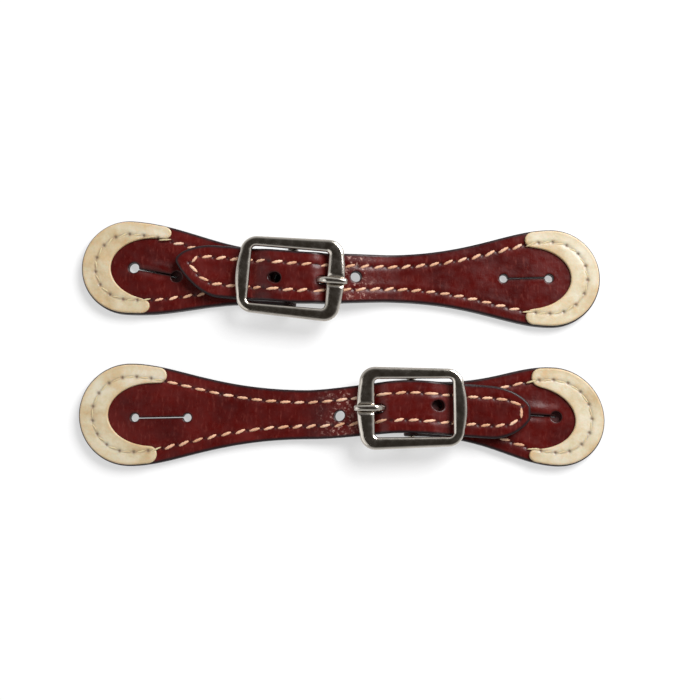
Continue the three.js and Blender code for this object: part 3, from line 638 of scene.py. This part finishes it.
def finish_piece(name, points, polygons, slot, body, node, attributes=None, sharp=40):
    """Make a mesh, mark it for its material, give it its body and its slot's material, and hide the CAD part
    it replaces.
    """
    mesh = bpy.data.meshes.new(name)
    mesh.from_pydata(points.tolist(), [], polygons)
    mesh.polygons.foreach_set("use_smooth", [True] * len(mesh.polygons))
    mesh.set_sharp_from_angle(angle=math.radians(sharp))
    for key in ("edge", "pit", "worn", "pale"):
        values = (attributes or {}).get(key, np.zeros(len(points)))
        values = np.clip(values, 0, 1).astype(np.float32)
        mesh.attributes.new(key, "FLOAT", "POINT").data.foreach_set("value", values)
    mesh.materials.append(MATERIALS[slot])
    piece = bpy.data.objects.new(name, mesh)
    bpy.context.collection.objects.link(piece)
    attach(piece, body)
    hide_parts(node)


def undulation(plan, size, seed):
    """Slow unevenness of hand-worked leather, as a few crossing waves."""
    random = np.random.default_rng(seed)
    total = np.zeros(len(plan))
    waves = 6
    for _ in range(waves):
        angle, wave = random.uniform(0, math.pi), random.uniform(14, 38)
        phase = random.uniform(0, 2 * math.pi)
        run = plan[:, 0] * math.cos(angle) + plan[:, 1] * math.sin(angle)
        total += np.sin(run * 2 * math.pi / wave + phase)
    return total * size / waves


def stitch_ends(seam):
    """Where the needle went through along a seam."""
    length = np.hypot(*np.diff(seam, axis=0).T).sum()
    count = int(round(length / STITCH_PITCH))
    return resample(seam, length / count, False), length / count


class Piece:
    """One of a strap's two sewn pieces: its outlines, its seam, and how flat leather is laid along it."""

    def __init__(self, strap_name, which):
        self.strap_name, self.which = strap_name, which
        self.strap = STRAPS[strap_name]
        self.size = self.strap[which]
        self.body = f"{strap_name}_{which}"
        self.sign = 1 if which == "billet" else -1

    def turn(self, points):
        return points if self.sign > 0 else turned_about(points)

    def outline(self, end_inset=0.0, side_inset=0.0, start=0.0):
        if self.which == "billet":
            return billet_outline(self.size, end_inset, side_inset)
        return turned_about(buckle_piece_outline(self.size, start, end_inset, side_inset))

    def seam(self):
        """The stitching's line: a closed loop on the billet, an open U on the buckle piece."""
        insets = self.size["end_inset"], self.size["side_inset"]
        line = self.outline(*insets, start=18)
        if self.which == "billet":
            line = np.vstack([line, line[:1]])
        return resample(line, 0.5, False)

    def tongue_hole(self, layer):
        """The hole the tongue is through, cut wider in the lining, where the tongue leans as it lifts."""
        margin = 0.4 if layer == "lining" else 0
        x_world = TONGUE_HOLE_AT + 0.5
        wander = float(sideways(np.array(x_world), self.strap["bends"]["billet"]))
        y = math.tan(skew_of(self.strap_name)) * x_world - wander
        return oval_outline(TONGUE_HOLE_AT, y, *(half + margin for half in TONGUE_HOLE_HALVES))

    def holes(self, layer="face"):
        punched = self.size["punched_lining"] if layer == "lining" else (True, True)
        found = [self.turn(buttonhole_outline(self.size, BUTTONHOLE_RADIUS[self.which], punched))]
        if self.which == "billet":
            found += [oval_outline(x, y, HOLE_RADIUS, HOLE_RADIUS) for x, y in self.strap["holes"]]
            found.append(self.tongue_hole(layer))
        return found

    def lay(self, points, folding=False):
        """Flat points to their places in the CAD's frame, with the billet's leaning tongue hole."""
        if folding:
            laid = folded(points)
        elif self.which == "billet":
            points = points.copy()
            near = step(5.5 - np.hypot(points[:, 0] - TONGUE_HOLE_AT, points[:, 1]), 0, 2.5)
            points[:, 0] += TONGUE_HOLE_LEAN * (points[:, 2] - STACK / 2) * near
            laid = along(points, billet_height)
        else:
            laid = points
        skewed = self.which != "billet"
        laid[:, 1] += sideways(laid[:, 0], self.strap["bends"][self.which])
        return place(self.strap_name, laid, skewed)

    def hide_plan(self):
        """The rawhide crescent's plan outline: round outside, an oval opening, and two rounded horns."""
        piece, sides = self.size, self.size["horns"][:: self.sign]
        outer = button_end(piece, piece["end_width"] / 2 - 0.5, piece["waist"] / 2 - 0.15)
        oval_at, half, side = piece["end"] - OVAL_AT, OVAL_HALF_WIDTH, piece["oval_side"]
        horn = [piece["end"] - distance for distance in sides]
        upper = outer[outer[:, 1] > 0]
        lower = outer[outer[:, 1] <= 0]
        upper = upper[upper[:, 0] > horn[0] + HORN_ROUND]
        lower = lower[lower[:, 0] > horn[1] + HORN_ROUND]
        angle = np.radians(np.linspace(90, -90, 70))
        oval = np.stack([oval_at + OVAL_LENGTH * np.cos(angle), side + half * np.sin(angle)], 1)
        top_bridge = horn_end(upper[-1], (horn[0] + HORN_ROUND - 0.6, side + half + 0.05), horn[0])
        low_bridge = horn_end((horn[1] + HORN_ROUND - 0.6, side - half - 0.05), lower[0], horn[1])
        start_top = oval[oval[:, 0] > horn[0] + HORN_ROUND]
        start_top = start_top[start_top[:, 1] > side]
        start_low = oval[(oval[:, 0] > horn[1] + HORN_ROUND) & (oval[:, 1] <= side)]
        return self.turn(np.vstack([lower, upper, top_bridge, start_top, start_low, low_bridge]))


def horn_end(start, finish, tip_x):
    """A horn's rounded end, from one side of it to the other, bulging to tip_x."""
    start, finish = np.array(start), np.array(finish)
    reach = 1.33
    pull_a = np.array([start[0] - (start[0] - tip_x) * reach, start[1]])
    pull_b = np.array([finish[0] - (finish[0] - tip_x) * reach, finish[1]])
    return bezier(start, pull_a, pull_b, finish, 14)[1:]


def sheet_piece(piece, layer, outline, holes, seams, low, high, slot, edge_radius, shape, spacing=0.75,
                folding=False):
    """One layer of a piece: a flat sheet with rounded edges, shaped, then laid in place."""
    plan, faces, loops = flat_sheet(outline, holes, seams, spacing)
    to_edge = distance_to(plan, loops[0])
    to_hole = np.full(len(plan), FAR)
    if holes:
        to_hole = np.min([distance_to(plan, loop) for loop in loops[1:]], 0)
    centres = piece.turn(buttonhole_centres(piece.size))
    from_ends = np.array([np.hypot(*(plan - centre).T) for centre in centres]).min(0)
    slit = (distance_to(plan, centres, False) < 1.2) & (from_ends > BUTTONHOLE_RADIUS[piece.which] + 0.25)
    hole_round = np.where(slit, 0.12, 0.45)
    hole_drop = np.where(to_hole < hole_round, round_edge(to_hole, hole_round), 0)
    top = high - round_edge(to_edge, edge_radius) - hole_drop
    bottom = np.full(len(plan), low)
    # The second mark is painted shade round every hole: darkest on its wall, fading out within about half a
    # millimetre.
    marks = {"edge": bell(to_edge, 1.25), "pit": 0.9 * bell(to_hole, 0.45)}
    top, bottom, marks = shape(plan, to_edge, to_hole, top, bottom, marks)
    points, polygons, ring = solid_sheet(plan, faces, top, bottom)
    attributes = {}
    for key, values in marks.items():
        under = np.ones(len(plan)) if key == "edge" else np.zeros(len(plan))
        attributes[key] = np.concatenate([values, under, values[ring]])
    node = f"{piece.strap_name}_{piece.which}_{layer}"
    name = f"{node}_hide" if layer == "rawhide" else f"{node}_leather"
    finish_piece(name, piece.lay(points, folding), polygons, slot, piece.body, node, attributes)


def face_shape(piece):
    """A face's stitching channel, needle holes and swells, its unevenness, a lip beside a slit, and painted
    shade at its needle holes.
    """
    seam = piece.seam()
    needle, _ = stitch_ends(seam)
    seed = sum(map(ord, piece.body))
    button = piece.turn(buttonhole_centres(piece.size))
    slit_middle = button.mean(0)

    def shape(plan, to_edge, to_hole, top, bottom, marks):
        to_seam = distance_to(plan, seam, False)
        to_needle = np.array([np.sqrt(((plan - p) ** 2).sum(1)) for p in needle]).min(0)
        waist = step(np.abs(plan[:, 0]), piece.size["waist_at"] - 15, piece.size["waist_at"] + 20)
        top = top - 0.13 * bell(to_seam, 0.9) - 0.25 * bell(to_needle, 0.55)
        top = top + 0.06 * bell(to_seam - 1.9, 0.9) + 0.06 * bell(to_hole - 1.0, 0.7)
        calm = step(to_edge, 0.5, 4)
        if piece.which == "buckle_piece":
            calm = calm * step(-plan[:, 0], 0, 6)
        top = top + undulation(plan, 0.28, seed) * calm * (0.4 + 0.6 * waist)
        if piece.which == "buckle_piece":
            run = (button[1] - button[0]) / np.linalg.norm(button[1] - button[0])
            across = np.array([-run[1], run[0]])
            past = (plan - slit_middle) @ run
            side = (plan - slit_middle) @ across * LIP_SIDE[piece.strap_name] * np.sign(run[0])
            top = top + bell(past, 7) * (0.8 * bell(side - 2.6, 2.2) - 0.6 * bell(side + 0.7, 1.3))
        # Painted shade in and round each needle hole.
        marks["pit"] = np.maximum(marks["pit"], 0.9 * bell(to_needle, 0.6))
        if piece.which == "billet":
            waist_hole = piece.strap["holes"][1][0]
            marks["worn"] = 0.85 * bell(plan[:, 0] - waist_hole, 5.5) * step(to_edge, 0, 1.5)
        return top, bottom, marks

    return shape


def hide_shape(piece):
    """The rawhide's sunk stitching, needle holes and unevenness, painted shade in its needle holes and along
    its seam, and its darker rim.
    """
    seam = piece.seam()
    needle, _ = stitch_ends(seam)
    seed = sum(map(ord, piece.body)) + 7

    def shape(plan, to_edge, to_hole, top, bottom, marks):
        to_seam = distance_to(plan, seam, False)
        to_needle = np.array([np.sqrt(((plan - p) ** 2).sum(1)) for p in needle]).min(0)
        top = top - 0.18 * bell(to_seam, 0.7) - 0.3 * bell(to_needle, 0.5) + undulation(plan, 0.12, seed)
        # Painted shade in the needle holes and in a thin line along the seam's groove.
        marks["pit"] = np.maximum(bell(to_needle, 0.75), 0.4 * bell(to_seam, 0.45))
        marks["edge"] = 0.9 * bell(to_edge, 1.1)
        return top, bottom, marks

    return shape


def lining_shape(seam):
    """The channel that the underside's stitches are sunk in."""

    def shape(plan, to_edge, to_hole, top, bottom, marks):
        bottom = bottom + 0.5 * bell(distance_to(plan, seam, False), 0.8) * step(to_edge, 0.2, 1.2)
        return top, bottom, marks

    return shape


def clip_under(piece, seam):
    """The stretch of a seam that runs in the lining."""
    if piece.which == "billet":
        return seam
    return seam[np.abs(seam[:, 0]) > FLAP_END + 1.2]


def make_sewn_piece(piece):
    """A piece's face, lining and rawhide, and its two threads."""
    seam = piece.seam()
    folding = piece.which == "buckle_piece"
    holes, outline, low, high = piece.holes(), piece.outline(), LINING + SEAM, STACK
    if folding:
        holes, outline, low, high = holes + [slot_outline()], folded_outline(piece), -FACE / 2, FACE / 2
    sheet_piece(piece, "face", outline, holes, [seam], low, high, "grain_leather", 0.75, face_shape(piece),
                folding=folding)
    lining_outline = piece.outline(start=FLAP_END + 0.8)
    under = clip_under(piece, seam)
    sheet_piece(piece, "lining", lining_outline, piece.holes("lining"), [under], 0.0, LINING,
                "lining_leather", 0.3, lining_shape(under), 1.6)
    sheet_piece(piece, "rawhide", piece.hide_plan(), [], [clip_seam(piece, seam)], STACK + SEAM,
                STACK + SEAM + RAWHIDE, "rawhide", 0.5, hide_shape(piece), 0.8)
    make_stitches(piece, seam, "thread", top=True)
    make_stitches(piece, seam, "bobbin_thread", top=False)


def clip_seam(piece, seam):
    """The stretch of a seam that crosses the rawhide."""
    end = piece.size["end"]
    reach = max(piece.size["horns"])
    keep = np.abs(seam[:, 0]) > end - reach
    keep &= np.sign(seam[:, 0]) == piece.sign
    return seam[keep]


def slot_outline():
    """The tongue's slot, punched along the fold and round it."""
    begin, finish = -SLOT_ON_TOP, FOLD_ARC + SLOT_UNDERNEATH
    radius = TONGUE_WIDTH / 2 + SLOT_CLEARANCE
    return np.vstack([
        arc_points(finish - radius, 0, radius, -90, 90, 16),
        arc_points(begin + radius, 0, radius, 90, 270, 16),
    ])


def folded_outline(piece):
    """The buckle piece's face as a flat blank: button end, turn, and a flap as wide as what is over it."""
    side = turned_about(button_end(piece.size, piece.size["end_width"] / 2, piece.size["waist"] / 2))
    neck = piece.size["waist"] / 2
    xs = np.linspace(0, FLAP_END, 30)
    widths = sorted_half_width(side)
    half = np.array([np.interp(-x, *widths) if x > piece.size["waist_at"] else neck for x in xs])
    lower = np.stack([FOLD_ARC + xs, -half], 1)
    upper = np.stack([FOLD_ARC + xs[::-1], half[::-1]], 1)
    return np.vstack([side, lower, upper])


def sorted_half_width(side):
    """The half width of an outline by its place along the strap."""
    upper = side[side[:, 1] > 0]
    order = np.argsort(upper[:, 0])
    return upper[order, 0], upper[order, 1]


def make_stitches(piece, seam, layer, top):
    """Separate stitches of twisted thread, each dipping into a needle hole at both ends."""
    needle, pitch = stitch_ends(seam)
    if not top and piece.which == "buckle_piece":
        needle = needle[np.abs(needle[:, 0]) > FLAP_END + 1.6]
    steps, around = STITCH_STEPS, STITCH_SIDES
    random = np.random.default_rng(len(needle) + int(top))
    t = np.linspace(0, 1, steps)
    all_points, polygons, pale, end_shade_and_tone = [], [], [], []
    for index in range(len(needle) - 1):
        a, b = needle[index], needle[index + 1]
        if np.hypot(*(b - a)) > pitch * 1.4:
            continue
        middle, half = (a + b) / 2, (b - a) / 2 * (STITCH_LENGTH / STITCH_PITCH)
        slant = math.radians(piece.strap["slants"][int(middle[1] < 0)]) + random.normal(0, 0.04)
        c, s = math.cos(slant), math.sin(slant)
        half = np.array([half[0] * c - half[1] * s, half[0] * s + half[1] * c])
        on_end = np.sign(middle[0]) == piece.sign
        on_hide = on_end and abs(middle[0]) > piece.size["end"] - horn_at(piece, middle)
        radius = STITCH_RADIUS * (0.62 if on_hide else 1.0) * random.uniform(0.93, 1.07)
        line = middle + np.outer(2 * t - 1, half)
        arch = np.sin(math.pi * t) ** 0.45
        if top:
            base = STACK + (SEAM + RAWHIDE if on_hide else 0)
            sunk, rise = (0.62, 0.36) if on_hide else (0.75, 0.62)
            level = base - sunk + rise * arch
        else:
            level = 0.52 - 0.16 * arch
            radius *= 0.6
        centre = np.column_stack([line, level])
        above = centre + (0, 0, 0.2)
        if piece.which == "buckle_piece" and top:
            offset = (0, 0, LINING + SEAM + FACE / 2)
            laid, up = piece.lay(centre - offset, True), piece.lay(above - offset, True)
        else:
            laid, up = piece.lay(centre), piece.lay(above)
        up = up - laid
        up /= np.linalg.norm(up, axis=1)[:, None]
        tangent = np.gradient(laid, axis=0)
        tangent /= np.linalg.norm(tangent, axis=1)[:, None]
        across = np.cross(tangent, up)
        up = np.cross(across, tangent)
        taper = np.sqrt(np.clip(1 - np.abs(2 * t - 1) ** 2.6, 0.06, 1))
        theta = np.linspace(0, 2 * math.pi, around, endpoint=False)
        twist = 2 * math.pi * t * TWIST_TURNS
        lobes = 1 + 0.13 * np.cos(PLIES * (theta[None, :] - twist[:, None]))
        size = radius * MM * taper[:, None] * lobes
        wide = np.cos(theta)[None, :, None] * across[:, None, :] * 1.1
        tall = np.sin(theta)[None, :, None] * up[:, None, :] * 0.85
        ring = laid[:, None, :] + size[..., None] * (wide + tall)
        first = len(pale)
        all_points.append(ring.reshape(-1, 3))
        pale += [1.0 if on_hide else 0.0] * (steps * around)
        # Painted shade toward each stitch's two ends, where it dips into the needle hole, plus a random
        # darkening of about three stitches in ten.
        end_shade_and_tone += np.repeat(np.abs(2 * t - 1) ** 6 + 0.25 * (random.uniform() < 0.3), around).tolist()
        for near in range(first, first + (steps - 1) * around, around):
            far = near + around
            for j in range(around):
                k = (j + 1) % around
                polygons.append((near + j, near + k, far + k, far + j))
        polygons.append(tuple(first + j for j in reversed(range(around))))
        polygons.append(tuple(first + (steps - 1) * around + j for j in range(around)))
    node = f"{piece.strap_name}_{piece.which}_{layer}"
    finish_piece(f"{node}_stitches", np.vstack(all_points), polygons, "thread", piece.body, node,
                 {"pale": np.array(pale), "pit": np.array(end_shade_and_tone)}, sharp=80)


def horn_at(piece, point):
    """How far from the round end the rawhide reaches on a point's side."""
    upper, lower = piece.size["horns"]
    return upper if point[1] > 0 else lower


# ---- Buckle ----


def rounded_corners(corners, radius, bow, samples=14, side_samples=26):
    """A closed outline with the same number of points on each corner and each side, whatever its size."""
    points = []
    corners = np.array(corners, float)
    for i, corner in enumerate(corners):
        before, after = corners[i - 1], corners[(i + 1) % 4]
        to_before = (before - corner) / np.linalg.norm(before - corner)
        to_after = (after - corner) / np.linalg.norm(after - corner)
        points.append(bezier(corner + to_before * radius, corner + to_before * radius * 0.45,
                             corner + to_after * radius * 0.45, corner + to_after * radius, samples))
        start, finish = corner + to_after * radius, after - to_after * radius
        t = np.linspace(0, 1, side_samples, endpoint=False)[:, None]
        side = start + (finish - start) * t
        if i % 2 == 0:
            side[:, 0] += np.sign(corner[0]) * bow * 4 * (t * (1 - t))[:, 0]
        points.append(side)
    return np.vstack(points)


def loft(rings, closed_rings=True):
    """Faces that join a list of equal rings, each a closed loop of points."""
    count, size = len(rings), len(rings[0])
    polygons = []
    for i in range(count if closed_rings else count - 1):
        for j in range(size):
            a, b = i * size + j, i * size + (j + 1) % size
            c, d = ((i + 1) % count) * size + (j + 1) % size, ((i + 1) % count) * size + j
            polygons.append((a, b, c, d))
    if not closed_rings:
        polygons.append(tuple(reversed(range(size))))
        polygons.append(tuple((count - 1) * size + j for j in range(size)))
    return np.vstack(rings), polygons


def rounded_section(count, power):
    """A section between a circle and a square, as two rows of numbers from -1 to 1."""
    angle = np.linspace(0, 2 * math.pi, count, endpoint=False)
    c, s = np.cos(angle), np.sin(angle)
    return np.sign(c) * np.abs(c) ** power, np.sign(s) * np.abs(s) ** power


def centre_bar(length, sides=28):
    """The round bar across the strap, with its end edges eased."""
    theta = np.linspace(0, 2 * math.pi, sides, endpoint=False)
    rings = []
    for at, size in ((-1, 0.85), (-0.97, 1.0), (0.97, 1.0), (1, 0.85)):
        radius = BAR_RADIUS * size
        z = BAR_HEIGHT - radius * np.sin(theta)
        rings.append(np.stack([radius * np.cos(theta), np.full(sides, at * length / 2), z], 1))
    return loft(rings, False)


def join(parts):
    points, polygons, start = [], [], 0
    for some_points, some_polygons in parts:
        points.append(some_points)
        polygons += [tuple(v + start for v in polygon) for polygon in some_polygons]
        start += len(some_points)
    return np.vstack(points), polygons


def finish_steel(strap_name, part, points, polygons):
    node = f"{strap_name}_buckle_{part}"
    finish_piece(f"{node}_polished", place(strap_name, points, True), polygons, "steel",
                 f"{strap_name}_{part}", node)


def make_frame(strap_name):
    """The frame with its tongue's notch, and under it the centre bar on two lugs."""
    half = WINDOW_HALF_WIDTH
    outer_corners = [(FRAME_TOE, -FRAME_TOE_HALF_WIDTH), (FRAME_TOE, FRAME_TOE_HALF_WIDTH),
                     (FRAME_HEEL, FRAME_HEEL_HALF_WIDTH), (FRAME_HEEL, -FRAME_HEEL_HALF_WIDTH)]
    inner_corners = [(WINDOW_TOE, -half), (WINDOW_TOE, half), (WINDOW_HEEL, half), (WINDOW_HEEL, -half)]
    outer = rounded_corners(outer_corners, OUTER_CORNER, END_BAR_BOW)
    inner = rounded_corners(inner_corners, INNER_CORNER, 0)
    across, up = rounded_section(36, 0.6)
    middle = FRAME_BOTTOM + FRAME_THICKNESS / 2
    rings = []
    for a, b in zip(inner, outer):
        centre, reach = (a + b) / 2, (b - a) / 2
        ring = np.column_stack([centre + np.outer(across, reach), middle + up * FRAME_THICKNESS / 2])
        rings.append(ring)
    points, polygons = loft(rings)
    on_toe = points[:, 0] > WINDOW_TOE - 1
    seat = FRAME_BOTTOM + FRAME_THICKNESS - NOTCH_DEPTH + NOTCH_RADIUS
    reach = np.sqrt(np.clip(NOTCH_RADIUS**2 - points[:, 1] ** 2, 0, None))
    limit = seat - reach
    cut = on_toe & (np.abs(points[:, 1]) < NOTCH_RADIUS) & (points[:, 2] > limit)
    points[cut, 2] = limit[cut]
    theta = np.linspace(0, 2 * math.pi, LUG_SIDES, endpoint=False)
    lug_x, lug_z = LUG_RADIUS * np.cos(theta), LUG_RADIUS * np.sin(theta)
    lug_z = np.where(lug_z > 0, lug_z * LUG_STRETCH, lug_z)
    lugs = []
    for side in (-1, 1):
        rings = []
        for at, size in LUG_RINGS:
            y = np.full(LUG_SIDES, side * (half + LUG_ASIDE) + at)
            rings.append(np.column_stack([lug_x * size, y, BAR_HEIGHT + lug_z * size]))
        lugs.append(loft(rings, False))
    window_frame = points, [polygon[::-1] for polygon in polygons]
    points, polygons = join([window_frame, *lugs, centre_bar(2 * half + 2)])
    finish_steel(strap_name, "frame", points, polygons)


def make_tongue(strap_name):
    """The tongue's shank, slimmer toward its end, and its eye round the centre bar."""
    spans = (TONGUE_FROM, 5, 6), (5.3, TONGUE_RISE[1], 26), (15, TONGUE_END, 22)
    xs = np.concatenate([np.linspace(*span) for span in spans])
    slope = (tongue_height(xs + 0.01) - tongue_height(xs - 0.01)) / 0.02
    normals = np.stack([-slope, np.ones(len(xs))], 1) / np.hypot(slope, 1)[:, None]
    across, up = rounded_section(22, 0.8)
    rings = []
    for x, z, normal in zip(xs, tongue_height(xs), normals):
        end = math.sqrt(max(0.02, 1 - max(0.0, (x - (TONGUE_END - 1.0)) / 1.0) ** 2))
        slim = 1 - 0.3 * float(step(x, TONGUE_END - 4, TONGUE_END))
        high = TONGUE_HALF * slim * end
        wide = TONGUE_WIDTH / 2 * (1 - 0.12 * float(step(x, 14, TONGUE_END))) * (0.35 + 0.65 * end)
        rings.append(np.stack([x + normal[0] * up * high, across * wide, z + normal[1] * up * high], 1))
    shank = loft(rings, False)
    theta = np.linspace(0, 2 * math.pi, 48, endpoint=False)
    eye_inside = BAR_RADIUS + BAR_CLEARANCE
    across, out = rounded_section(16, 0.8)
    radius = (TONGUE_EYE + eye_inside) / 2 + out * (TONGUE_EYE - eye_inside) / 2
    y = across * (TONGUE_WIDTH + 0.3) / 2
    rings = [np.stack([radius * math.cos(a), y, BAR_HEIGHT + radius * math.sin(a)], 1) for a in theta]
    points, polygons = join([shank, loft(rings)])
    finish_steel(strap_name, "tongue", points, polygons)


# ---- The scene ----

bpy.context.scene.view_settings.view_transform = "Standard"
make_camera()
make_world()
make_floor()
make_light("key", (0.6, 0.62, 0.75), 0.75, 24)
make_light("fill", (-0.6, -0.2, 0.8), 0.9, 2)

GRAIN_DYES = (0.035, 0.0014, 0.0012), (0.058, 0.0026, 0.0018), (0.088, 0.0075, 0.006)
LINING_DYES = (0.02, 0.006, 0.006), (0.05, 0.012, 0.012), (0.08, 0.02, 0.02)
MATERIALS = {
    "grain_leather": leather_material("grain_leather", *GRAIN_DYES, 0.3),
    "lining_leather": leather_material("lining_leather", *LINING_DYES, 0.6),
    "rawhide": rawhide_material(),
    "thread": thread_material(),
    "steel": steel_material(),
}

for strap_name in STRAPS:
    for which in ("billet", "buckle_piece"):
        make_sewn_piece(Piece(strap_name, which))
    make_frame(strap_name)
    make_tongue(strap_name)
